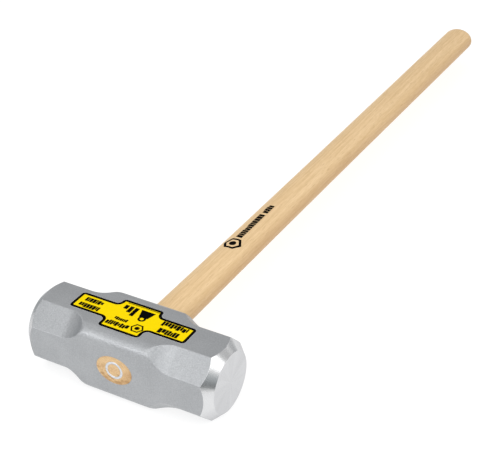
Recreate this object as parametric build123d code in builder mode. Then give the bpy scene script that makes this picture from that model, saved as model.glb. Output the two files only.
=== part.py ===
"""Sixteen pound sledgehammer: a double-faced forged head on a wedged hickory handle.

The hammer lies on its side. X is the striking axis, +Y runs from the eye face along the
handle to the grip, and Z points up through the two cheeks. The origin is the centre of
the lower cheek, so the head rests on the plane Z = 0. Sizes are in millimetres.
"""
from build123d import *

import os
from math import acos, cos, radians, sin, sqrt, tan

# Head: striking face to striking face (X), eye face to handle face (Y), cheek to cheek (Z).
head_length = 204.6
head_depth = 74.6
head_height = 72.6
boss_corner_radius = 12.5      # rounded corners of the square middle
facet_distance = 76.2          # between opposite corner facets of the octagonal ends
run_out_start = 59.5           # where a facet leaves its flat, from the middle of the head
hollow_radius = 32.0           # concave part of the facet's run-out
crest_radius = 14.0            # convex part that meets the boss corner
face_diameter = 60.8           # flat striking face
bevel_angle = 45.0             # ground bevel round each striking face, from the X axis

# Eye and tenon: an oval with its long axis along X, narrowest halfway through the head.
oval_ratio = 0.77              # Z size over X size, the same all along the handle
eye_mouth_width = 38.6
eye_waist_width = 36.2

# Handle: widths along X, and where they lie as a fraction of the length outside the head.
handle_length = 914.4
slim_width = 37.8
slim_at = 0.22
swell_width = 38.9
swell_at = 0.65
grip_width = 40.6
grip_end_radius = 13.0         # rounding between the grip's side and its end
grip_dome_height = 2.5

# Wooden wedge, driven into a kerf along the oval's long axis.
wood_wedge_depth = 48.0
wood_wedge_thickness = 5.0
wood_wedge_tip = 1.0

# Steel ring wedge, driven across the kerf into the middle of the end grain.
ring_depth = 22.0
ring_outer_diameter = 19.0
ring_inner_diameter = 13.6
ring_tip_wall = 0.8

# Paper label on the upper cheek: a long band crossed by a wider block.
label_thickness = 0.2
label_centre_x = -2.2
label_band_size = (126.8, 25.8)
label_band_y = -0.4
label_block_size = (45.2, 47.8)
label_block_y = -2.3
label_corner_radius = 4.2

# Places worked out from the sizes above.
middle_z = head_height / 2
eye_face_y = -head_depth / 2
handle_face_y = head_depth / 2
grip_end_y = eye_face_y + handle_length
shaft_length = grip_end_y - grip_dome_height - handle_face_y
well_outside = 80.0            # reach of the cutting bodies, past the head's section

side_plane = Plane((0, 0, middle_z), x_dir=(1, 0, 0), z_dir=(0, 0, 1))
end_plane = Plane((0, 0, middle_z), x_dir=(0, 1, 0), z_dir=(1, 0, 0))
striking_axis = Axis((0, 0, middle_z), (1, 0, 0))
handle_axis = Axis((0, 0, middle_z), (0, 1, 0))

os.makedirs("parts", exist_ok=True)


def finish(builder, name):
    """Name a finished piece and write it as one STEP file."""
    builder.part.label = name
    export_step(builder.part, f"parts/{name}.step")


# --- Spaces shared by neighbouring pieces --------------------------------------------

# The eye, revolved about the handle axis and then flattened to its oval.
with BuildPart() as eye_space:
    with BuildSketch(Plane.XY):
        with BuildLine():
            Polyline(
                (0, eye_face_y),
                (eye_mouth_width / 2, eye_face_y),
                (eye_waist_width / 2, 0),
                (eye_mouth_width / 2, handle_face_y),
                (0, handle_face_y),
                close=True,
            )
        make_face()
    revolve(axis=Axis.Y)
    scale(by=(1, 1, oval_ratio))
eye = eye_space.part.moved(Location((0, 0, middle_z)))

# The ring wedge's tapered wall, thickest at the eye face.
ring_tip_radius = (ring_outer_diameter + ring_inner_diameter) / 4
with BuildPart() as ring_space:
    with BuildSketch(side_plane):
        with BuildLine():
            Polyline(
                (ring_inner_diameter / 2, eye_face_y),
                (ring_outer_diameter / 2, eye_face_y),
                (ring_tip_radius + ring_tip_wall / 2, eye_face_y + ring_depth),
                (ring_tip_radius - ring_tip_wall / 2, eye_face_y + ring_depth),
                close=True,
            )
        make_face()
    revolve(axis=handle_axis)

# The kerf: a tapered slot right across the oval.
with BuildPart() as kerf_space:
    with BuildSketch(Plane.YZ):
        with BuildLine():
            Polyline(
                (eye_face_y, middle_z + wood_wedge_thickness / 2),
                (eye_face_y + wood_wedge_depth, middle_z + wood_wedge_tip / 2),
                (eye_face_y + wood_wedge_depth, middle_z - wood_wedge_tip / 2),
                (eye_face_y, middle_z - wood_wedge_thickness / 2),
                close=True,
            )
        make_face()
    extrude(amount=eye_mouth_width, both=True)

# --- Forged head ---------------------------------------------------------------------

# A run-out rises from its facet to just over the boss corner, so that its crest leaves
# the corner cleanly.
corner_clearance = 0.3
corner_centre = ((head_depth + head_height) / 2 - 2 * boss_corner_radius) / sqrt(2)
crest_height = corner_centre + boss_corner_radius + corner_clearance
facet_height = facet_distance / 2
run_out_angle = acos(1 - (crest_height - facet_height) / (hollow_radius + crest_radius))
hollow_end = (
    run_out_start - hollow_radius * sin(run_out_angle),
    facet_height + hollow_radius * (1 - cos(run_out_angle)),
)
crest_end = (run_out_start - (hollow_radius + crest_radius) * sin(run_out_angle), crest_height)
bevel_run = (well_outside - face_diameter / 2) / tan(radians(bevel_angle))

with BuildPart() as hammer_head:
    # Square middle with rounded corners, taken out to the full length.
    with BuildSketch(end_plane) as boss_section:
        Rectangle(head_depth, head_height)
        fillet(boss_section.vertices(), boss_corner_radius)
    extrude(amount=head_length / 2, both=True)

    # Corner facets at both ends, each running out in an S-curve into its boss corner.
    for corner_angle in (45, 135, 225, 315):
        turn = radians(corner_angle)
        corner_plane = Plane((0, 0, middle_z), x_dir=(1, 0, 0), z_dir=(0, -sin(turn), cos(turn)))
        with BuildSketch(corner_plane):
            with BuildLine():
                facet = Line((head_length, facet_height), (run_out_start, facet_height))
                hollow = TangentArc(facet @ 1, hollow_end, tangent=(-1, 0))
                crest = TangentArc(hollow @ 1, crest_end, tangent=hollow % 1)
                Polyline(crest @ 1, (crest_end[0], well_outside), (head_length, well_outside), facet @ 0)
            make_face()
            mirror(about=Plane.YZ)
        extrude(amount=well_outside, both=True, mode=Mode.SUBTRACT)

    # Ground ends: a flat striking face inside a turned bevel.
    with BuildSketch(side_plane):
        with BuildLine():
            Polyline(
                (-head_length / 2, 0),
                (-head_length / 2, face_diameter / 2),
                (-head_length / 2 + bevel_run, well_outside),
                (head_length / 2 - bevel_run, well_outside),
                (head_length / 2, face_diameter / 2),
                (head_length / 2, 0),
                close=True,
            )
        make_face()
    revolve(axis=striking_axis, mode=Mode.INTERSECT)

    add(eye, mode=Mode.SUBTRACT)
finish(hammer_head, "hammer_head")

# --- Hickory handle ------------------------------------------------------------------

with BuildPart() as handle_blank:
    with BuildSketch(Plane.XY) as handle_profile:
        with BuildLine():
            tenon = Polyline(
                (0, eye_face_y),
                (eye_mouth_width / 2, eye_face_y),
                (eye_waist_width / 2, 0),
                (eye_mouth_width / 2, handle_face_y),
            )
            side = Spline(
                tenon @ 1,
                (slim_width / 2, handle_face_y + slim_at * shaft_length),
                (swell_width / 2, handle_face_y + swell_at * shaft_length),
                (grip_width / 2, handle_face_y + shaft_length),
            )
            dome = ThreePointArc(
                side @ 1,
                (grip_width / 4, grip_end_y - grip_dome_height / 4),
                (0, grip_end_y),
            )
            Line(dome @ 1, tenon @ 0)
        make_face()
        fillet(handle_profile.vertices().sort_by(Axis.X)[-1], grip_end_radius)
    revolve(axis=Axis.Y)
    scale(by=(1, 1, oval_ratio))

with BuildPart() as handle:
    add(handle_blank.part.moved(Location((0, 0, middle_z))))
    add(kerf_space.part, mode=Mode.SUBTRACT)
    add(ring_space.part, mode=Mode.SUBTRACT)
finish(handle, "handle")

# --- Wedges --------------------------------------------------------------------------

with BuildPart() as wooden_wedge:
    add(kerf_space.part)
    add(eye, mode=Mode.INTERSECT)
    add(ring_space.part, mode=Mode.SUBTRACT)
finish(wooden_wedge, "wooden_wedge")

with BuildPart() as ring_wedge:
    add(ring_space.part)
finish(ring_wedge, "ring_wedge")

# --- Label ---------------------------------------------------------------------------

with BuildPart() as head_label:
    with BuildSketch(Plane.XY.offset(head_height)) as label_outline:
        with Locations((label_centre_x, label_band_y)):
            Rectangle(*label_band_size)
        with Locations((label_centre_x, label_block_y)):
            Rectangle(*label_block_size)
        fillet(label_outline.vertices(), label_corner_radius)
    extrude(amount=label_thickness)
finish(head_label, "head_label")
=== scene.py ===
"""Looks of the sixteen pound sledgehammer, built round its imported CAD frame.

The hammer lies on its side: X is the striking axis, +Y runs along the handle to the grip, Z is
up. Everything is in metres.
"""
import math
import random

import bpy
import numpy as np
from mathutils import Matrix, Vector
from mathutils.bvhtree import BVHTree
from mathutils.geometry import delaunay_2d_cdt


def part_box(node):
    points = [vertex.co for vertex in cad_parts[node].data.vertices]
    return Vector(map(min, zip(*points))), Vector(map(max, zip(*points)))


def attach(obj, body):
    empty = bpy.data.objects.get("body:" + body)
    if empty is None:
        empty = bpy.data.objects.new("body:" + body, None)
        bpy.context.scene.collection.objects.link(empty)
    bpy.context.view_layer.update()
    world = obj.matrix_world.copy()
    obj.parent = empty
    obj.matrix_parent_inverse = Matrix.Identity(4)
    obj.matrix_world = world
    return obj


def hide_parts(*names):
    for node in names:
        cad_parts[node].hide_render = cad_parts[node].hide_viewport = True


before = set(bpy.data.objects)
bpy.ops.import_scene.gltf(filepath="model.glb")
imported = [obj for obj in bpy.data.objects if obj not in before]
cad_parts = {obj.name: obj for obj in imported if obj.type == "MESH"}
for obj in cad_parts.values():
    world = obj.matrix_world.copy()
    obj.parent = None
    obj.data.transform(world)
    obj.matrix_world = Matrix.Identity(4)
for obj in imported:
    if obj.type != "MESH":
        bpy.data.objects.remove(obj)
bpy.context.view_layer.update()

MM = 0.001
random.seed(16)

head_low, head_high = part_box("hammer_head")
handle_low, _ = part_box("handle")
label_low, label_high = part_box("head_label")
ring_low, ring_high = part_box("ring_wedge")

# Head: the same sizes as the CAD part.
HALF_LENGTH = head_high.x                       # along X
HALF_DEPTH = head_high.y                        # along Y
HALF_HEIGHT = (head_high.z - head_low.z) / 2    # along Z
MIDDLE_Z = (head_high.z + head_low.z) / 2
BOSS_RADIUS = 12.5 * MM           # rounded corners of the square middle
FACET_REACH = 38.1 * MM           # from the striking axis to a corner facet
RUN_OUT_START = 59.5 * MM         # where a facet leaves its flat, from the middle of the head
HOLLOW_RADIUS = 32.0 * MM         # concave part of the facet's run-out
CREST_RADIUS = 14.0 * MM          # convex part that meets the boss corner
CREST_CLEARANCE = 0.3 * MM
FACE_RADIUS = 30.4 * MM           # of the flat striking face
OVAL_RATIO = 0.77                 # of the eye and the handle, Z over X
EYE_MOUTH = 19.3 * MM             # half the eye's long axis, at the two faces
EYE_WAIST = 18.1 * MM             # and halfway through the head

# Small roundings of the forging's edges, which the CAD part leaves sharp.
EDGE_BLEND = 0.5 * MM             # between a facet and its neighbours
GROUND_EDGE = 0.2 * MM            # round the bevels
EYE_EDGE = 0.3 * MM               # round the eye


# --- Meshes --------------------------------------------------------------------------


class Skin:
    """The points, faces and material numbers of a mesh in the making. A point is known by its
    number, and a face goes anticlockwise as seen from outside."""

    def __init__(self, points=(), faces=()):
        self.points = list(points)
        self.faces = list(faces)
        self.finishes = [0] * len(self.faces)

    def add(self, points):
        """Take in new points and return their numbers."""
        start = len(self.points)
        self.points.extend(points)
        return list(range(start, len(self.points)))

    def face(self, corners, finish=0):
        self.faces.append(tuple(corners))
        self.finishes.append(finish)

    def bridge(self, first, second, finish=0):
        """Quads from one closed loop of points to the next."""
        for k in range(len(first)):
            m = (k + 1) % len(first)
            self.face((first[k], first[m], second[m], second[k]), finish)

    def fan(self, middle, loop, finish=0):
        """Triangles from a point to the closed loop round it."""
        for k in range(len(loop)):
            self.face((middle, loop[k], loop[(k + 1) % len(loop)]), finish)

    def build(self, name, materials, smooth=True):
        """The mesh as a new object. Points that no face uses are dropped."""
        used = sorted({v for face in self.faces for v in face})
        number = {v: k for k, v in enumerate(used)}
        points = [tuple(self.points[v]) for v in used]
        faces = [tuple(number[v] for v in face) for face in self.faces]
        mesh = bpy.data.meshes.new(name)
        mesh.from_pydata(points, [], faces)
        for material in materials:
            mesh.materials.append(material)
        mesh.polygons.foreach_set("material_index", self.finishes)
        if smooth:
            mesh.polygons.foreach_set("use_smooth", [True] * len(faces))
            mesh.normals_split_custom_set_from_vertices(area_normals(points, faces))
        mesh.update()
        made = bpy.data.objects.new(name, mesh)
        bpy.context.scene.collection.objects.link(made)
        return made


def area_normals(points, faces):
    """Vertex normals in which a large flat face outweighs the small faces of a rounding."""
    places = np.array(points, float)
    normals = np.zeros_like(places)
    for face in faces:
        corners = places[list(face)]
        spokes = corners - corners.mean(axis=0)
        normals[list(face)] += np.cross(spokes, np.roll(spokes, -1, axis=0)).sum(axis=0)
    return (normals / np.linalg.norm(normals, axis=1)[:, None]).tolist()


def spread(low, high, count):
    """The first `count` of the places that divide low to high evenly."""
    return [low + (high - low) * k / count for k in range(count)]


def divide(low, high, count):
    """The places from low to high that are `count` even steps apart."""
    return spread(low, high, count) + [high]


def circle(count):
    """Turns that go evenly round a circle."""
    return spread(0, 2 * math.pi, count)


# --- Head ----------------------------------------------------------------------------

corner_reach = (HALF_DEPTH + HALF_HEIGHT - 2 * BOSS_RADIUS) / math.sqrt(2) + BOSS_RADIUS
crest_reach = corner_reach + CREST_CLEARANCE
run_out_turn = math.acos(1 - (crest_reach - FACET_REACH) / (HOLLOW_RADIUS + CREST_RADIUS))
hollow_end = RUN_OUT_START - HOLLOW_RADIUS * math.sin(run_out_turn)
crest_end = RUN_OUT_START - (HOLLOW_RADIUS + CREST_RADIUS) * math.sin(run_out_turn)
CLEAR_SLOPE = 0.1                 # how fast the corner cut lifts off the boss, past its crest

# From a ground edge to the end of its rounding, and the same step's share of X and of the
# radius down the bevel, which is at 45 degrees.
edge_step = GROUND_EDGE * math.tan(math.radians(22.5))
bevel_step = edge_step / math.sqrt(2)

PAINT, STEEL = 0, 1               # material numbers of the head's skin

# Rows of the skin run round the head. From the middle outwards, each stretch of them ends at
# an x and has a count; those past the last are bent to meet the bevel's wavy rim.
ROW_STRETCHES = ((34.0 * MM, 20), (61.0 * MM, 30), (75.0 * MM, 6))
RIM_ROWS = 8
ROUNDING_STEPS = (0.33, 0.67, 1.0)
BEVEL_STEPS = (0.2, 0.4, 0.6, 0.8, 1.0)
FACE_STEPS = (0.9, 0.75, 0.55, 0.35, 0.15)

# Columns, from the middle of a flat to its corner: the flat, the two sides of its end, the
# boss's rounding between there and the facet's edge, the two sides of that, and the facet.
COLUMN_COUNTS = (14, 5, 8, 5, 8)
EDGE_SPACE = 0.016                # angle on each side of an edge that its own columns fill
LEAST_STEP = 0.004                # least angle between columns

# The eye takes a patch out of the skin, so many rows and columns each way from its middle.
EYE_ROWS = 14
EYE_COLUMNS = 11
PATCH_STEPS = (0.25, 0.5, 0.7, 0.86, 1.0)
MOUTH_STEPS = (0.3, 0.65, 1.0)
LINING_STEPS = (0.25, 0.5, 0.75)


def facet_reach(x):
    """How far the corner cut lies from the striking axis, at x from the middle."""
    if x >= RUN_OUT_START:
        return FACET_REACH
    if x >= hollow_end:
        return FACET_REACH + HOLLOW_RADIUS - math.sqrt(HOLLOW_RADIUS**2 - (RUN_OUT_START - x) ** 2)
    if x >= crest_end:
        return crest_reach - CREST_RADIUS + math.sqrt(CREST_RADIUS**2 - (x - crest_end) ** 2)
    return crest_reach + CLEAR_SLOPE * (crest_end - x)


def section_radius(x, angle, near, far):
    """Distance from the striking axis to the skin, at an angle from the middle of the flat
    that is `near` away, towards the next, which is `far` away."""
    c, s = math.cos(angle), math.sin(angle)
    centre = (near - BOSS_RADIUS, far - BOSS_RADIUS)
    if s * near <= centre[1] * c:
        square = near / c
    elif c * far <= centre[0] * s:
        square = far / s
    else:
        reach = c * centre[0] + s * centre[1]
        square = reach + math.sqrt(reach**2 - centre[0] ** 2 - centre[1] ** 2 + BOSS_RADIUS**2)
    facet = facet_reach(x) * math.sqrt(2) / (c + s)
    blend = max(EDGE_BLEND - abs(square - facet), 0) / EDGE_BLEND
    return min(square, facet) - blend**2 * EDGE_BLEND / 4


def eighth_of_columns(x, near, far):
    """(angle, radius) from the middle of the flat `near` to its corner, crowded at the edges."""
    reach = facet_reach(x)
    centre = (near - BOSS_RADIUS, far - BOSS_RADIUS)
    flat_end = math.atan2(min(reach * math.sqrt(2) - near, centre[1]), near)
    lean = (reach - (centre[0] + centre[1]) / math.sqrt(2)) / BOSS_RADIUS
    turn = math.pi / 4 - math.acos(min(1, max(-1, lean)))
    cut = flat_end
    if turn > 0:
        rise = centre[1] + BOSS_RADIUS * math.sin(turn)
        cut = math.atan2(rise, centre[0] + BOSS_RADIUS * math.cos(turn))
    edges = [edge + space for edge in (flat_end, cut) for space in (-EDGE_SPACE, EDGE_SPACE)]
    marks = [0, *edges, math.pi / 4]
    room = [LEAST_STEP * n for n in COLUMN_COUNTS]
    for i in range(1, len(room)):
        marks[i] = max(marks[i], marks[i - 1] + room[i - 1])
    for i in reversed(range(1, len(room))):
        marks[i] = min(marks[i], marks[i + 1] - room[i])
    angles = []
    for low, high, n in zip(marks, marks[1:], COLUMN_COUNTS):
        angles += [math.atan(slope) for slope in spread(math.tan(low), math.tan(high), n)]
    return [(angle, section_radius(x, angle, near, far)) for angle in angles + [math.pi / 4]]


def ring_of_columns(x):
    """(angle, radius) right round the head at x, from +Y towards +Z."""
    quarter = eighth_of_columns(x, HALF_DEPTH, HALF_HEIGHT)
    rest = eighth_of_columns(x, HALF_HEIGHT, HALF_DEPTH)[:-1]
    quarter += [(math.pi / 2 - angle, radius) for angle, radius in reversed(rest)]
    half = quarter + [(math.pi - angle, radius) for angle, radius in reversed(quarter[:-1])]
    return half[:-1] + [(angle + math.pi, radius) for angle, radius in half[:-1]]


def rounding(edge, before, after):
    """(x, radius) over the rounding of an edge, between the steps before and after it."""
    return [
        tuple(e + b * (1 - k) ** 2 + a * k**2 for e, b, a in zip(edge, before, after)) for k in ROUNDING_STEPS
    ]


def end_profile(radius):
    """(x, radius) from the rim of the bevel, where the side has this radius, almost to the
    middle of the striking face."""
    rim = HALF_LENGTH + FACE_RADIUS - radius
    profile = rounding((rim, radius), (-edge_step, 0), (bevel_step, -bevel_step))
    start = rim + bevel_step
    for k in BEVEL_STEPS:
        x = start + (HALF_LENGTH - bevel_step - start) * k
        profile.append((x, HALF_LENGTH + FACE_RADIUS - x))
    profile += rounding((HALF_LENGTH, FACE_RADIUS), (-bevel_step, bevel_step), (0, -edge_step))
    return profile + [(HALF_LENGTH, (FACE_RADIUS - edge_step) * k) for k in FACE_STEPS]


def painted_rows(end_ring):
    """Rows of (x, angle, radius), from the middle of the head to the rim of its bevel."""
    widest = HALF_LENGTH + FACE_RADIUS - min(HALF_DEPTH, HALF_HEIGHT)
    stations, start = [], 0
    for end, count in ROW_STRETCHES:
        stations += spread(start, end, count)
        start = end
    stations += spread(start, widest, RIM_ROWS) + [widest]
    rows = []
    for station in stations:
        row = []
        for (angle, radius), (_, end_radius) in zip(ring_of_columns(station), end_ring):
            x = station
            if station > start:
                rim = HALF_LENGTH + FACE_RADIUS - end_radius - edge_step
                x = start + (station - start) * (rim - start) / (widest - start)
            row.append((x, angle, radius))
        rows.append(row)
    return rows


def build_head(paint, steel):
    """The forging as one closed skin: painted sides, ground bevels and faces, and the eye."""
    end_ring = ring_of_columns(HALF_LENGTH)
    painted = painted_rows(end_ring)
    rows = list(painted)
    for ground in zip(*(end_profile(radius) for _, radius in end_ring)):
        rows.append([(x, angle, radius) for (x, radius), (angle, _) in zip(ground, end_ring)])
    middle = len(rows) - 1
    both_sides = [[(-x, angle, radius) for x, angle, radius in row] for row in reversed(rows[1:])] + rows

    skin = Skin()
    grid = []
    for row in both_sides:
        grid.append(skin.add(
            (x, radius * math.cos(angle), MIDDLE_Z + radius * math.sin(angle)) for x, angle, radius in row
        ))
    columns = len(end_ring)
    for i in range(len(grid) - 1):
        outward = min(abs(i - middle), abs(i + 1 - middle))
        finish = STEEL if outward >= len(painted) - 1 else PAINT
        for j in range(columns):
            beside_eye = (j + EYE_COLUMNS) % (columns // 2) < 2 * EYE_COLUMNS
            if outward < EYE_ROWS and beside_eye:
                continue
            m = (j + 1) % columns
            skin.face((grid[i][j], grid[i][m], grid[i + 1][m], grid[i + 1][j]), finish)
    for x, last_row in ((-HALF_LENGTH, grid[0][::-1]), (HALF_LENGTH, grid[-1])):
        centre, = skin.add([(x, 0, MIDDLE_Z)])
        skin.fan(centre, last_row, STEEL)
    line_eye(skin, grid[middle - EYE_ROWS:middle + EYE_ROWS + 1])
    return skin.build("forged_head", (paint, steel))


def oval(half_width, turn, y):
    """A point of the eye's oval, at a turn from +X towards +Z."""
    return half_width * math.cos(turn), y, MIDDLE_Z + half_width * math.sin(turn) * OVAL_RATIO


def line_eye(skin, rows):
    """The eye: from the patch left open in each of the rows' two sides, rings of points close
    on the oval, go over its rounded mouth and line it as far as its waist."""
    linings = []
    for side, first_column in ((1, 0), (-1, len(rows[0]) // 2)):
        low, high = first_column - EYE_COLUMNS, first_column + EYE_COLUMNS
        loop = [row[low] for row in rows[:-1]] + [rows[-1][j] for j in range(low, high)]
        loop += [row[high] for row in rows[:0:-1]] + [rows[0][j] for j in range(high, low, -1)]
        outer = [skin.points[v] for v in loop]
        turns = [math.atan2((z - MIDDLE_Z) / OVAL_RATIO, x) for x, _, z in outer]
        mouth = [oval(EYE_MOUTH + EYE_EDGE, turn, side * HALF_DEPTH) for turn in turns]
        rings = []
        for k in PATCH_STEPS:
            rings.append([tuple(a + (b - a) * k for a, b in zip(*pair)) for pair in zip(outer, mouth)])
        for k in MOUTH_STEPS:
            half_width = EYE_MOUTH + EYE_EDGE * (1 - math.sin(k * math.pi / 2))
            y = side * (HALF_DEPTH - EYE_EDGE * (1 - math.cos(k * math.pi / 2)))
            rings.append([oval(half_width, turn, y) for turn in turns])
        for k in LINING_STEPS:
            half_width = EYE_MOUTH + (EYE_WAIST - EYE_MOUTH) * k
            rings.append([oval(half_width, turn, side * HALF_DEPTH * (1 - k)) for turn in turns])
        for ring in rings:
            inner = skin.add(ring)
            skin.bridge(inner, loop)
            loop = inner
        linings.append((loop, turns))

    # Join the two linings at the waist: the far side's loop runs the other way round.
    (near_loop, near_turns), (far_loop, far_turns) = linings

    def direction(turn):
        return round(math.cos(turn), 5), round(math.sin(turn), 5)

    partner = {direction(turn): v for v, turn in zip(far_loop, far_turns)}
    waist = skin.add(oval(EYE_WAIST, turn, 0) for turn in near_turns)
    skin.bridge(waist, near_loop)
    skin.bridge([partner[direction(turn)] for turn in near_turns], waist)


# --- Materials -----------------------------------------------------------------------


MIX_SHARE, MIX_A, MIX_B, MIX_COLOUR = 0, 6, 7, 2    # sockets of a mix node set to colours


class Nodes:
    """A shader's nodes, each made from the outputs of those before it."""

    def __init__(self, tree):
        self.tree = tree
        tree.nodes.clear()

    def put(self, socket, value):
        """Feed a socket from an output, or set its number or colour."""
        if isinstance(value, bpy.types.NodeSocket):
            self.tree.links.new(value, socket)
        elif socket.type == "RGBA":
            socket.default_value = (*value, 1)
        else:
            socket.default_value = value

    def node(self, kind, inputs, **settings):
        """The first output of a new node."""
        made = self.tree.nodes.new(kind)
        for key, value in settings.items():
            setattr(made, key, value)
        for key, value in inputs.items():
            self.put(made.inputs[key], value)
        return made.outputs[0] if made.outputs else None

    def coordinates(self, kind):
        return self.tree.nodes.new("ShaderNodeTexCoord").outputs[kind]

    def parts(self, vector):
        """The outputs X, Y and Z of a vector."""
        made = self.tree.nodes.new("ShaderNodeSeparateXYZ")
        self.put(made.inputs[0], vector)
        return made.outputs

    def math(self, operation, *values):
        return self.node("ShaderNodeMath", dict(enumerate(values)), operation=operation)

    def plus(self, a, b):
        return self.math("ADD", a, b)

    def minus(self, a, b):
        return self.math("SUBTRACT", a, b)

    def times(self, a, b):
        return self.math("MULTIPLY", a, b)

    def length(self, a, b):
        """How long the vector (a, b) is."""
        return self.math("SQRT", self.plus(self.times(a, a), self.times(b, b)))

    def ramp(self, value, low, high, out_low=0.0, out_high=1.0):
        """value's range low to high, eased onto out_low to out_high."""
        inputs = {"Value": value, "From Min": low, "From Max": high, "To Min": out_low, "To Max": out_high}
        return self.node("ShaderNodeMapRange", inputs, interpolation_type="SMOOTHSTEP")

    def noise(self, place, scale, detail, rough):
        inputs = {"Vector": place, "Scale": scale, "Detail": detail, "Roughness": rough}
        return self.node("ShaderNodeTexNoise", inputs)


class Look(Nodes):
    """A node material. Its patterns are solid: they lie in the object's own space."""

    def __init__(self, name):
        self.material = bpy.data.materials.new(name)
        self.material.use_nodes = True
        super().__init__(self.material.node_tree)
        self.place = self.coordinates("Object")

    def stretched(self, scale, offset=(0, 0, 0)):
        return self.node("ShaderNodeMapping", {"Vector": self.place, "Scale": scale, "Location": offset})

    def mix(self, share, a, b):
        """A colour between a and b."""
        made = self.tree.nodes.new("ShaderNodeMix")
        made.data_type = "RGBA"
        self.put(made.inputs[MIX_SHARE], share)
        self.put(made.inputs[MIX_A], a)
        self.put(made.inputs[MIX_B], b)
        return made.outputs[MIX_COLOUR]

    def bump(self, height, distance):
        return self.node("ShaderNodeBump", {"Height": height, "Distance": distance, "Strength": 1.0})

    def surface(self, shader):
        self.node("ShaderNodeOutputMaterial", {"Surface": shader})
        return self.material

    def finish(self, **inputs):
        """A Principled surface; an underscore in a name stands for a space."""
        named = {key.replace("_", " "): value for key, value in inputs.items()}
        return self.surface(self.node("ShaderNodeBsdfPrincipled", named))

    def glow(self, colour, strength):
        """Light for reflections alone: nothing samples it as a lamp."""
        self.material.cycles.emission_sampling = "NONE"
        return self.node("ShaderNodeEmission", {"Color": colour, "Strength": strength})


def silver_paint():
    """Satin silver paint over the forging, with its fine grain and a few darker clouds."""
    look = Look("silver_paint")
    grain = look.noise(look.place, scale=800, detail=2, rough=0.6)
    fine = look.noise(look.place, scale=2600, detail=1, rough=0.5)
    clouds = look.noise(look.place, scale=28, detail=3, rough=0.5)
    orange_peel = look.noise(look.place, scale=260, detail=2, rough=0.5)
    tone = look.plus(look.times(grain, 0.65), look.times(clouds, 0.35))
    colour = look.mix(look.ramp(tone, 0.32, 0.68), (0.357, 0.367, 0.380), (0.449, 0.461, 0.474))
    roughness = look.ramp(fine, 0.25, 0.75, 0.38, 0.51)
    normal = look.bump(look.plus(look.times(grain, 0.9), orange_peel), distance=0.2 * MM)
    return look.finish(Base_Color=colour, Metallic=0.85, Roughness=roughness, Normal=normal)


def ground_steel():
    """Bare steel of the bevels and striking faces, with the grinder's circular scratches."""
    look = Look("ground_steel")
    x, y, z = look.parts(look.place)
    rise = look.minus(z, MIDDLE_Z)
    radius = look.length(y, rise)
    turn = look.math("ARCTAN2", rise, y)

    # Scratches are fine across the radius and along X, and long round the striking axis.
    fine = 4200
    around = {"X": look.times(radius, fine), "Y": look.times(turn, 1.2), "Z": look.times(x, fine)}
    scratches = look.noise(look.node("ShaderNodeCombineXYZ", around), scale=1.0, detail=3, rough=0.7)
    fan = {"X": look.math("COSINE", turn), "Y": look.math("SINE", turn), "Z": look.times(radius, 6)}
    sectors = look.noise(look.node("ShaderNodeCombineXYZ", fan), scale=3.2, detail=2, rough=0.5)

    tone = look.ramp(look.plus(look.times(scratches, 0.35), look.times(sectors, 0.65)), 0.3, 0.7)
    bevel = look.mix(tone, (0.68, 0.685, 0.695), (0.74, 0.745, 0.75))
    # The striking faces are darker than the bevels: partly their sanded finish, partly painted shade that
    # stands in for the dimmer surroundings they mirror.
    sanded_and_shaded = look.mix(tone, (0.635, 0.64, 0.65), (0.69, 0.695, 0.705))
    on_face = look.math("GREATER_THAN", look.math("ABSOLUTE", x), HALF_LENGTH - 0.02 * MM)
    return look.finish(
        Base_Color=look.mix(on_face, bevel, sanded_and_shaded),
        Metallic=1.0,
        Roughness=look.ramp(scratches, 0.25, 0.75, 0.20, 0.27),
        Normal=look.bump(scratches, distance=0.002 * MM),
        Specular_Tint=(0.70, 0.70, 0.71),
    )


def bright_steel():
    """Plated steel of the ring wedge."""
    look = Look("bright_steel")
    marks = look.noise(look.stretched((900, 300, 900)), scale=1.0, detail=3, rough=0.6)
    return look.finish(
        Base_Color=look.mix(look.ramp(marks, 0.3, 0.7), (0.56, 0.58, 0.61), (0.76, 0.78, 0.82)),
        Metallic=1.0,
        Roughness=look.ramp(marks, 0.25, 0.75, 0.28, 0.40),
        Normal=look.bump(marks, distance=0.01 * MM),
    )


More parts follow.
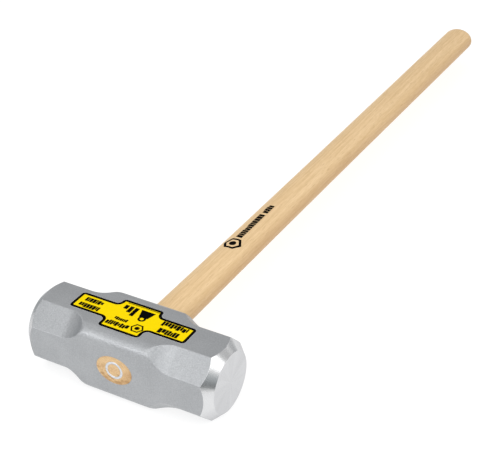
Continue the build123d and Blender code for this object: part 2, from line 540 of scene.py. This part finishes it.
def lacquered_wood(name, light, dark, brown, pith, contrast):
    """A solid wood: growth rings round a pith, at (x, z), wandering along the grain, with
    fibres, flecks and pores drawn out along Y, so that sides and end grain belong to one
    block. Painted shade browns the side towards +X and the underside, and the driven end
    is darker, with brown blots stronger low down."""
    look = Look(name)
    x, y, z = look.parts(look.place)

    def grain(across, along, detail, rough):
        return look.noise(look.stretched((across, along, across)), 1.0, detail, rough)

    # Growth rings: each darkens towards its outer edge, where the late wood ends.
    ring_width = 2.4 * MM
    drift = look.times(look.minus(grain(11, 3.6, 2, 0.5), 0.5), 14 * MM)
    off_x = look.plus(look.minus(x, pith[0]), drift)
    off_z = look.minus(look.minus(z, pith[1]), drift)
    phase = look.math("FRACT", look.times(look.length(off_x, off_z), 1 / ring_width))
    late = look.times(look.ramp(phase, 0.25, 0.92), look.ramp(phase, 1.0, 0.92))

    # Fibres, flecks, streaks and clouds darken the wood, and pores show in the early wood.
    fibres = grain(560, 24, 4, 0.7)
    flecks = grain(900, 95, 2, 0.6)
    streaks = grain(110, 4.5, 3, 0.55)
    clouds = grain(30, 5, 2, 0.5)
    pores = look.ramp(grain(1500, 75, 2, 0.5), 0.60, 0.74)
    pores = look.times(pores, look.ramp(late, 0.9, 0.2, 0.25, 1.0))
    tone = look.times(late, contrast)
    for pattern, low, high, share in (
        (fibres, 0.3, 0.7, 0.34),
        (flecks, 0.35, 0.7, 0.20),
        (streaks, 0.38, 0.72, 0.15),
        (clouds, 0.35, 0.75, 0.12),
    ):
        tone = look.plus(tone, look.times(look.ramp(pattern, low, high), share))
    colour = look.mix(look.math("MINIMUM", tone, 1.0), light, dark)
    colour = look.mix(look.times(pores, 0.45), colour, brown)

    # Painted shade: browner towards +X and the underside, where the handle is shaded.
    across = look.minus(look.times(x, 0.85), look.times(look.minus(z, MIDDLE_Z), 0.5))
    painted_shade = look.ramp(look.plus(across, look.times(drift, 0.8)), 6 * MM, 18 * MM)
    colour = look.mix(look.times(painted_shade, 0.49), colour, brown)

    # Darker brown blots on the end grain, stronger low down, and an even darkening of the whole end.
    blots = look.noise(look.stretched((170, 20, 240), (0.3, 0.0, 0.1)), 1.0, 3, 0.6)
    low_side = look.ramp(z, MIDDLE_Z + 4 * MM, MIDDLE_Z - 5 * MM, 0.25, 1.0)
    end_darkening = look.times(look.ramp(blots, 0.44, 0.60), low_side)
    at_end = look.ramp(y, handle_low.y + 1.0 * MM, handle_low.y)
    end_darkening = look.times(look.plus(look.times(end_darkening, 0.62), 0.2), at_end)
    return look.finish(
        Base_Color=look.mix(end_darkening, colour, brown),
        Roughness=look.ramp(fibres, 0.2, 0.8, 0.42, 0.56),
        Normal=look.bump(look.minus(fibres, look.times(pores, 1.2)), distance=0.04 * MM),
        Specular_IOR_Level=0.3,
    )


def printed(name, light, dark, roughness, specular):
    """A printed or coated surface with a faint fleck."""
    look = Look(name)
    fleck = look.noise(look.place, scale=900, detail=2, rough=0.6)
    return look.finish(
        Base_Color=look.mix(look.ramp(fleck, 0.3, 0.7), light, dark),
        Roughness=roughness,
        Normal=look.bump(fleck, distance=0.01 * MM),
        Specular_IOR_Level=specular,
    )


hickory = lacquered_wood(
    "hickory_lacquered",
    light=(0.905, 0.655, 0.372),
    dark=(0.68, 0.45, 0.212),
    brown=(0.42, 0.225, 0.085),
    pith=(-45 * MM, -18.7 * MM),
    contrast=0.22,
)
wedge_wood = lacquered_wood(
    "wedge_hardwood",
    light=(0.89, 0.635, 0.365),
    dark=(0.65, 0.42, 0.20),
    brown=(0.38, 0.195, 0.07),
    pith=(30 * MM, 10 * MM),
    contrast=0.3,
)
yellow = printed("label_yellow", (1.0, 0.74, 0.0), (0.965, 0.71, 0.0), 0.4, 0.02)
black = printed("label_black", (0.001, 0.001, 0.001), (0.002, 0.002, 0.002), 0.45, 0.01)
margin = printed("label_margin", (0.66, 0.67, 0.68), (0.60, 0.61, 0.62), 0.45, 0.2)
ink = printed("handle_ink", (0.001, 0.001, 0.001), (0.004, 0.003, 0.002), 0.5, 0.01)

for node_name, material in (("handle", hickory), ("wooden_wedge", wedge_wood)):
    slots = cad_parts[node_name].data.materials
    for i in range(len(slots)):
        slots[i] = material

head = build_head(silver_paint(), ground_steel())
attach(head, "root")
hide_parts("hammer_head")


# --- Ring wedge ----------------------------------------------------------------------

RING_HOLE = 6.8 * MM              # radius of its hole, at the struck end
RING_TIP = (7.75 * MM, 8.55 * MM)  # inner and outer radius of its tip
RING_PROUD = 0.15 * MM            # how far the struck end stands out of the wood
RING_ROUNDING = 0.55 * MM
RING_COLUMNS = 96
TAPER_SHARE = 0.3                 # how far down the taper the profile has its next point


def build_ring(material):
    """The ring wedge as a turned profile of (radius, y), with its struck edge rounded over."""
    outer, inner = ring_high.x, RING_HOLE
    top = ring_low.y - RING_PROUD
    bends = divide(0, math.pi / 2, 5)

    def down_taper(start, tip):
        return start + (tip - start) * TAPER_SHARE, ring_low.y + (ring_high.y - ring_low.y) * TAPER_SHARE

    def rounded_over(edge, sideways, down):
        """A point of the rounding, that far inside the wall's edge and its top."""
        return edge + RING_ROUNDING * sideways, top + RING_ROUNDING * down

    profile = [down_taper(outer, RING_TIP[1])]
    profile += [rounded_over(outer, math.cos(bend) - 1, 1 - math.sin(bend)) for bend in bends]
    profile += [rounded_over(inner, 1 - math.sin(bend), 1 - math.cos(bend)) for bend in bends]
    profile += [down_taper(inner, RING_TIP[0]), (RING_TIP[0], ring_high.y), (RING_TIP[1], ring_high.y)]
    skin = Skin()
    loops = []
    for radius, y in profile:
        turned = [(radius * math.cos(t), y, MIDDLE_Z + radius * math.sin(t)) for t in circle(RING_COLUMNS)]
        loops.append(skin.add(turned))
    for first, second in zip(loops, loops[1:] + loops[:1]):
        skin.bridge(first, second)
    return skin.build("ring_wedge_turned", (material,))


ring = build_ring(bright_steel())
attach(ring, "root")
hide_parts("ring_wedge")


# --- Label ---------------------------------------------------------------------------

# Outline: the same sizes as the CAD part.
LABEL_BAND = (126.8 * MM, 25.8 * MM)
LABEL_BLOCK = (45.2 * MM, 47.8 * MM)
LABEL_BAND_Y = -0.4 * MM
LABEL_BLOCK_Y = -2.3 * MM
LABEL_CORNER = 4.2 * MM
LABEL_X = (label_low.x + label_high.x) / 2
CORNER_STEPS = 7

BORDER_START = 0.2 * MM           # the pale margin's width
BORDER_END = 3.25 * MM
MARGIN, BLACK, YELLOW = 0, 1, 2   # material numbers of the label

# Print, in millimetres. Rows are (left, right, lower edge, upper edge).
PRINT_ROWS = (
    (27.0, 54.5, 1.6, 9.0), (29.0, 50.5, -9.0, -1.6),
    (-57.0, -37.5, 0.7, 7.0), (-58.5, -36.0, -9.0, -2.4),
    (-20.5, 3.6, -19.9, -13.2), (-16.5, -2.5, -10.6, -6.0),
)
PRINT_PITCH = 0.42                # rough width of a bar, over its row's height
FINE_ROW = (-18.0, 18.0, 16.9, 17.9)
FINE_PITCH = 1.3
PRINT_GAP = 0.12                  # between bars, over their middling width

NUT = (11.2, -13.2)
NUT_OUTSIDE, NUT_INSIDE, NUT_DOT = 6.8, 5.0, 2.5

PICTURE_BASE = 14.2               # the line that the cast weight and the rising bars stand on
WEIGHT_OUTLINE = ((14.6, PICTURE_BASE), (-0.6, PICTURE_BASE), (2.4, 3.4), (11.6, 3.4))
WEIGHT_LOOP = (7.0, 1.4)
LOOP_OUTSIDE, LOOP_INSIDE = 4.1, 1.9
RISING_BARS = ((-5.2, 13.6), (-10.6, 10.0), (-16.0, 6.4))          # (middle, height)
RISING_HALF_WIDTH = 2.1

TRIANGLES_INSIDE = 1              # what the triangulation gives back
WELD = 1e-4                       # closest points it keeps apart, in millimetres


def label_outline(inset):
    """The label's outline with rounded corners, anticlockwise, moved inwards by inset."""
    half_band, half_block = LABEL_BAND[0] / 2, LABEL_BLOCK[0] / 2
    band_low, band_high = LABEL_BAND_Y - LABEL_BAND[1] / 2, LABEL_BAND_Y + LABEL_BAND[1] / 2
    block_low, block_high = LABEL_BLOCK_Y - LABEL_BLOCK[1] / 2, LABEL_BLOCK_Y + LABEL_BLOCK[1] / 2
    right = [
        (half_block, block_low), (half_block, band_low), (half_band, band_low),
        (half_band, band_high), (half_block, band_high), (half_block, block_high),
    ]
    left = [(-x, y) for x, y in reversed(right)]
    corners = [Vector((LABEL_X + x, y)) for x, y in right + left]
    outline = []
    for before, here, after in zip(corners[-1:] + corners, corners, corners[1:] + corners[:1]):
        arrive, leave = (here - before).normalized(), (after - here).normalized()
        left_in, left_out = Vector((-arrive.y, arrive.x)), Vector((-leave.y, leave.x))
        sign = 1 if arrive.x * leave.y > arrive.y * leave.x else -1     # convex or concave
        radius = LABEL_CORNER - sign * inset
        moved = here + (left_in + left_out) * inset
        centre = moved + (left_in + left_out) * radius * sign
        start = math.atan2(-left_in.y * sign, -left_in.x * sign)
        for k in range(CORNER_STEPS + 1):
            angle = start + math.pi / 2 * sign * k / CORNER_STEPS
            outline.append((centre.x + radius * math.cos(angle), centre.y + radius * math.sin(angle)))
    return outline


def bar(x0, x1, y0, y1):
    """A rectangle, given in millimetres."""
    return [(x * MM, y * MM) for x, y in ((x0, y0), (x1, y0), (x1, y1), (x0, y1))]


def bar_row(x0, x1, y0, y1, pitch):
    """Uneven upright bars that fill a row, standing in for a line of print."""
    widths = [random.uniform(0.6, 1.4) for _ in range(round((x1 - x0) / pitch))]
    scale = (x1 - x0) / (sum(widths) + PRINT_GAP * (len(widths) - 1))
    bars, x = [], x0
    for width in widths:
        low = y0 + (y1 - y0) * random.choice((0, 0, 0.22))
        high = y1 - (y1 - y0) * random.choice((0, 0, 0, 0.18))
        bars.append(bar(x, x + width * scale, low, high))
        x += (width + PRINT_GAP) * scale
    return bars


def disc(middle, radius, count=40):
    """A round or many-sided outline, given in millimetres."""
    x, y = middle
    return [((x + radius * math.cos(t)) * MM, (y + radius * math.sin(t)) * MM) for t in circle(count)]


def label_shapes():
    """(outline, material number) of everything on the label, each over those before it."""
    shapes = [(label_outline(0), MARGIN)]
    shapes += [(label_outline(BORDER_START), BLACK), (label_outline(BORDER_END), YELLOW)]
    for row in PRINT_ROWS:
        pitch = (row[3] - row[2]) * PRINT_PITCH
        shapes += [(shape, BLACK) for shape in bar_row(*row, pitch)]
    # A plain nut with a dot.
    shapes += [(disc(NUT, NUT_OUTSIDE, 6), BLACK), (disc(NUT, NUT_INSIDE, 6), YELLOW)]
    shapes.append((disc(NUT, NUT_DOT), BLACK))
    shapes += [(shape, BLACK) for shape in bar_row(*FINE_ROW, FINE_PITCH)]
    # A cast weight and rising bars: how heavy the hammer is, without a word.
    shapes.append(([(x * MM, y * MM) for x, y in WEIGHT_OUTLINE], BLACK))
    shapes += [(disc(WEIGHT_LOOP, LOOP_OUTSIDE), BLACK), (disc(WEIGHT_LOOP, LOOP_INSIDE), YELLOW)]
    for x, height in RISING_BARS:
        sides = (x - RISING_HALF_WIDTH, x + RISING_HALF_WIDTH)
        shapes.append((bar(*sides, PICTURE_BASE - height, PICTURE_BASE), BLACK))
    return shapes


def build_label():
    """The label as a thin closed plate, whose top is divided along the outlines of its print."""
    shapes = label_shapes()
    corners, outlines = [], []
    for shape, _ in shapes:
        start = len(corners)
        corners += [Vector(point) / MM for point in shape]
        outlines.append(list(range(start, len(corners))))
    flat, _, triangles, _, _, owners = delaunay_2d_cdt(corners, [], outlines, TRIANGLES_INSIDE, WELD, True)

    skin = Skin()
    top, bottom = (skin.add((*(v * MM), z) for v in flat) for z in (label_high.z, label_low.z))
    edges = set()
    for (a, b, c), over in zip(triangles, owners):
        if not over:
            continue    # in a notch between the band and the block
        skin.face((top[a], top[b], top[c]), shapes[max(over)][1])
        skin.face((bottom[c], bottom[b], bottom[a]), MARGIN)
        edges |= {(a, b), (b, c), (c, a)}
    for a, b in sorted(edges):
        if (b, a) not in edges:
            skin.face((top[a], bottom[a], bottom[b], top[b]), MARGIN)
    return skin.build("head_label_printed", (margin, black, yellow), smooth=False)


label = build_label()
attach(label, "root")
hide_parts("head_label")


# --- Mark printed on the handle --------------------------------------------------------

INK_THICKNESS = 0.08 * MM
MARK_RADIUS = 16.5 * MM           # turns a distance round the handle into an angle
MARK_X = -2.0 * MM                # how far round the handle the mark's middle line lies
MARK_Y = 190.0 * MM               # middle of its nut
NUT_RADII = (8.2 * MM, 9.05 * MM, 9.9 * MM, 10.75 * MM, 11.6 * MM)
DOT_RADII = (0, 1.4 * MM, 2.8 * MM, 4.2 * MM)
NUT_COLUMNS = 72
BARS_START, BARS_END = 203.4 * MM, 280.0 * MM
BAR_HALF_WIDTH = 3.8 * MM
BAR_GAP = 0.6 * MM
WORD_END, WORD_GAP = 255.0 * MM, 4.0 * MM
BAR_ROWS = 7                      # of points across a bar
WELL_OUTSIDE = 0.1                # a distance from the handle's axis, clear of its skin

handle_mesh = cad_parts["handle"].data
handle_tree = BVHTree.FromPolygons(
    [v.co.copy() for v in handle_mesh.vertices], [tuple(p.vertices) for p in handle_mesh.polygons]
)


def on_handle(turn, y):
    """(point, normal) on the handle's skin, at a turn from the top towards +X."""
    outward = Vector((math.sin(turn), 0, math.cos(turn)))
    start = Vector((0, y, MIDDLE_Z)) + outward * WELL_OUTSIDE
    point, _, _, _ = handle_tree.ray_cast(start, -outward)
    return point, Vector((outward.x, 0, outward.z / OVAL_RATIO)).normalized()


def hexagon(turn):
    """Distance from a hexagon's middle to its edge, as a share of its corners' distance."""
    return math.cos(math.pi / 6) / math.cos(turn % (math.pi / 3) - math.pi / 6)


def build_mark():
    """A plain nut with a dot and a row of bars, printed along the top of the handle. Each is
    a thin closed shell that follows the handle's skin."""
    skin = Skin()

    def lay(places):
        """The upper and lower points of a shell, over (round the handle, along it) places."""
        hits = [on_handle(across / MARK_RADIUS, y) for across, y in places]
        levels = (INK_THICKNESS, -INK_THICKNESS)
        return [skin.add(point + normal * level for point, normal in hits) for level in levels]

    def bar_patch(low_x, high_x, low_y, high_y):
        columns = round((high_y - low_y) / MM) + 1
        across = divide(low_x, high_x, BAR_ROWS - 1)
        along = divide(low_y, high_y, columns - 1)
        upper, lower = lay([(x, y) for x in across for y in along])
        for i in range(BAR_ROWS - 1):
            for j in range(columns - 1):
                a = i * columns + j
                corners = (a, a + columns, a + columns + 1, a + 1)
                skin.face(upper[v] for v in corners)
                skin.face(lower[v] for v in reversed(corners))
        last = (BAR_ROWS - 1) * columns
        rim = [*range(columns), *range(2 * columns - 1, last + columns, columns)]
        rim += [*range(last + columns - 2, last - 1, -1), *range(last - columns, 0, -columns)]
        skin.bridge([upper[v] for v in rim], [lower[v] for v in rim])

    def disc_patch(radii, outline):
        """A band through the radii, or a disc where the first is nought; outline(turn) is the
        share of each radius that is reached at a turn."""
        shells = []
        for radius in filter(None, radii):
            reaches = [(radius * outline(turn), turn) for turn in circle(NUT_COLUMNS)]
            shells.append(lay([(MARK_X + r * math.cos(t), MARK_Y + r * math.sin(t)) for r, t in reaches]))
        loops = [lower for _, lower in shells] + [upper for upper, _ in reversed(shells)]
        for first, second in zip(loops, loops[1:]):
            skin.bridge(first, second)
        if radii[0]:
            skin.bridge(loops[-1], loops[0])
        else:
            (above,), (below,) = lay([(MARK_X, MARK_Y)])
            skin.fan(above, loops[-1])
            skin.fan(below, loops[0][::-1])

    disc_patch(NUT_RADII, hexagon)
    disc_patch(DOT_RADII, lambda turn: 1.0)
    y = BARS_START
    while y < BARS_END:
        length = random.uniform(3.0, 5.0) * MM
        inset = random.choice((0, 0, 0.9)) * MM
        bar_patch(MARK_X - BAR_HALF_WIDTH + inset, MARK_X + BAR_HALF_WIDTH, y, y + length)
        past_word = y < WORD_END <= y + length + BAR_GAP
        y += length + (WORD_GAP if past_word else BAR_GAP)
    return skin.build("handle_mark", (ink,), smooth=False)


mark = build_mark()
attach(mark, "root")


# --- Stage ---------------------------------------------------------------------------

FLOOR_REACH = 30.0
DRAPES_RADIUS, DRAPES_TOP = 3.0, 1.0
DRAPES_COLUMNS = 96


def floor_material():
    """A pale floor that glows a little, like the lit table of a product photograph."""
    look = Look("floor_pale")
    fleck = look.noise(look.place, scale=3, detail=2, rough=0.5)
    return look.finish(
        Base_Color=look.mix(look.ramp(fleck, 0.3, 0.7), (0.34, 0.34, 0.34), (0.33, 0.33, 0.33)),
        Roughness=0.9,
        Specular_IOR_Level=0.0,
        Emission_Color=(1.0, 1.0, 1.0),
        Emission_Strength=0.76,
    )


def build_floor():
    corners = [(-1, -1), (1, -1), (1, 1), (-1, 1)]
    skin = Skin([(x * FLOOR_REACH, y * FLOOR_REACH, 0) for x, y in corners], [(0, 1, 2, 3)])
    return skin.build("floor", (floor_material(),), smooth=False)


def world_light():
    """A soft dome: bright overhead, dimmer towards the horizon and towards +X."""
    world = bpy.data.worlds.new("studio")
    world.use_nodes = True
    nodes = Nodes(world.node_tree)
    x, _, z = nodes.parts(nodes.coordinates("Generated"))
    strength = nodes.math("MULTIPLY_ADD", x, -0.08, nodes.ramp(z, 0.45, 0.95, 0.78, 1.0))
    dome = nodes.node("ShaderNodeBackground", {"Strength": strength})
    nodes.node("ShaderNodeOutputWorld", {"Surface": dome})
    bpy.context.scene.world = world


def softbox(name, azimuth, elevation, distance, size, power, lit=True):
    """An area light that faces the head; azimuth 0 is +X, turning towards +Y. One that is not
    lit only shows in reflections."""
    light = bpy.data.lights.new(name, "AREA")
    light.shape = "RECTANGLE"
    light.size, light.size_y = size
    light.energy = power
    lamp = bpy.data.objects.new(name, light)
    a, e = math.radians(azimuth), math.radians(elevation)
    outward = Vector((math.cos(a) * math.cos(e), math.sin(a) * math.cos(e), math.sin(e)))
    lamp.location = Vector((0, 0, MIDDLE_Z)) + outward * distance
    lamp.rotation_mode = "QUATERNION"
    lamp.rotation_quaternion = outward.to_track_quat("Z", "Y")
    lamp.visible_diffuse = lit
    bpy.context.scene.collection.objects.link(lamp)


def build_reflected(name, skin, material):
    """A stage piece that only shows in reflections."""
    made = skin.build(name, (material,), smooth=False)
    made.visible_camera = False
    made.visible_diffuse = False
    made.visible_shadow = False
    return made


def dark_drapes():
    """A low dark ring round the set, which fades out upwards."""
    look = Look("drapes")
    _, _, z = look.parts(look.place)
    clear = look.ramp(z, 0.45, 0.95)
    open_air = look.node("ShaderNodeBsdfTransparent", {})
    cloth = look.glow((0.5, 0.51, 0.52), 1.0)
    material = look.surface(look.node("ShaderNodeMixShader", {0: clear, 1: cloth, 2: open_air}))
    skin = Skin()
    around = [(DRAPES_RADIUS * math.cos(t), DRAPES_RADIUS * math.sin(t)) for t in circle(DRAPES_COLUMNS)]
    foot, top = (skin.add((*place, height) for place in around) for height in (0.0, DRAPES_TOP))
    skin.bridge(top, foot)
    return build_reflected("drapes", skin, material)


def grey_card(name, foot, azimuth, distance, size, tones):
    """A small graded card standing beside the head, for a bevel to mirror."""
    look = Look(name)
    _, _, z = look.parts(look.place)
    material = look.surface(look.glow((0.92, 0.98, 1.0), look.ramp(z, 0.02, size[1], *tones)))
    turn = math.radians(azimuth)
    middle = Vector(foot) + Vector((math.cos(turn), math.sin(turn), 0)) * distance
    side = Vector((-math.sin(turn), math.cos(turn), 0)) * size[0] / 2
    top = Vector((0, 0, size[1]))
    corners = [middle - side, middle + side, middle + side + top, middle - side + top]
    return build_reflected(name, Skin(corners, [(0, 1, 2, 3)]), material)


floor = build_floor()
drapes = dark_drapes()
for card in (
    grey_card("card_right", (0.09, -0.03, 0), -26, 0.28, size=(0.44, 0.15), tones=(0.14, 0.58)),
    grey_card("card_left", (-0.09, 0, 0), 160, 0.16, size=(0.5, 0.08), tones=(0.5, 0.6)),
):
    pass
world_light()
softbox("right_box", -2, 33, 2.0, size=(1.3, 0.6), power=3.8)
softbox("side_box", 74, 32, 2.2, size=(1.5, 0.9), power=4.6, lit=False)
softbox("key_box", 290, 50, 2.2, size=(3.8, 1.4), power=21.5)
softbox("left_box", 165, 35, 2.4, size=(1.2, 0.9), power=3.0)
softbox("corner_box", 247, 19, 2.4, size=(0.8, 0.4), power=7.8, lit=False)


# --- Camera --------------------------------------------------------------------------

CAMERA_AZIMUTH, CAMERA_ELEVATION, CAMERA_ROLL = 28.07, 31.13, 0.81     # degrees
CAMERA_AIM = Vector((-0.0151, 0.2534, MIDDLE_Z))
CAMERA_DISTANCE = 1.377
CAMERA_LENS, CAMERA_SENSOR = 90, 36                                    # millimetres


def place_camera():
    """The photograph's view: azimuth 0 looks along +Y, turning towards -X."""
    azimuth, elevation, roll = map(math.radians, (CAMERA_AZIMUTH, CAMERA_ELEVATION, CAMERA_ROLL))
    level = math.cos(elevation)
    back = Vector((math.sin(azimuth) * level, -math.cos(azimuth) * level, math.sin(elevation)))
    right = Vector((math.cos(azimuth), math.sin(azimuth), 0))
    up = back.cross(right)
    right, up = right * math.cos(roll) + up * math.sin(roll), up * math.cos(roll) - right * math.sin(roll)
    lens = bpy.data.cameras.new("camera")
    lens.lens = CAMERA_LENS
    lens.sensor_width = CAMERA_SENSOR
    camera = bpy.data.objects.new("camera", lens)
    turned = Matrix((right, up, back)).transposed().to_4x4()
    camera.matrix_world = Matrix.Translation(CAMERA_AIM + back * CAMERA_DISTANCE) @ turned
    bpy.context.scene.collection.objects.link(camera)
    bpy.context.scene.camera = camera


place_camera()
bpy.context.scene.view_settings.view_transform = "Standard"
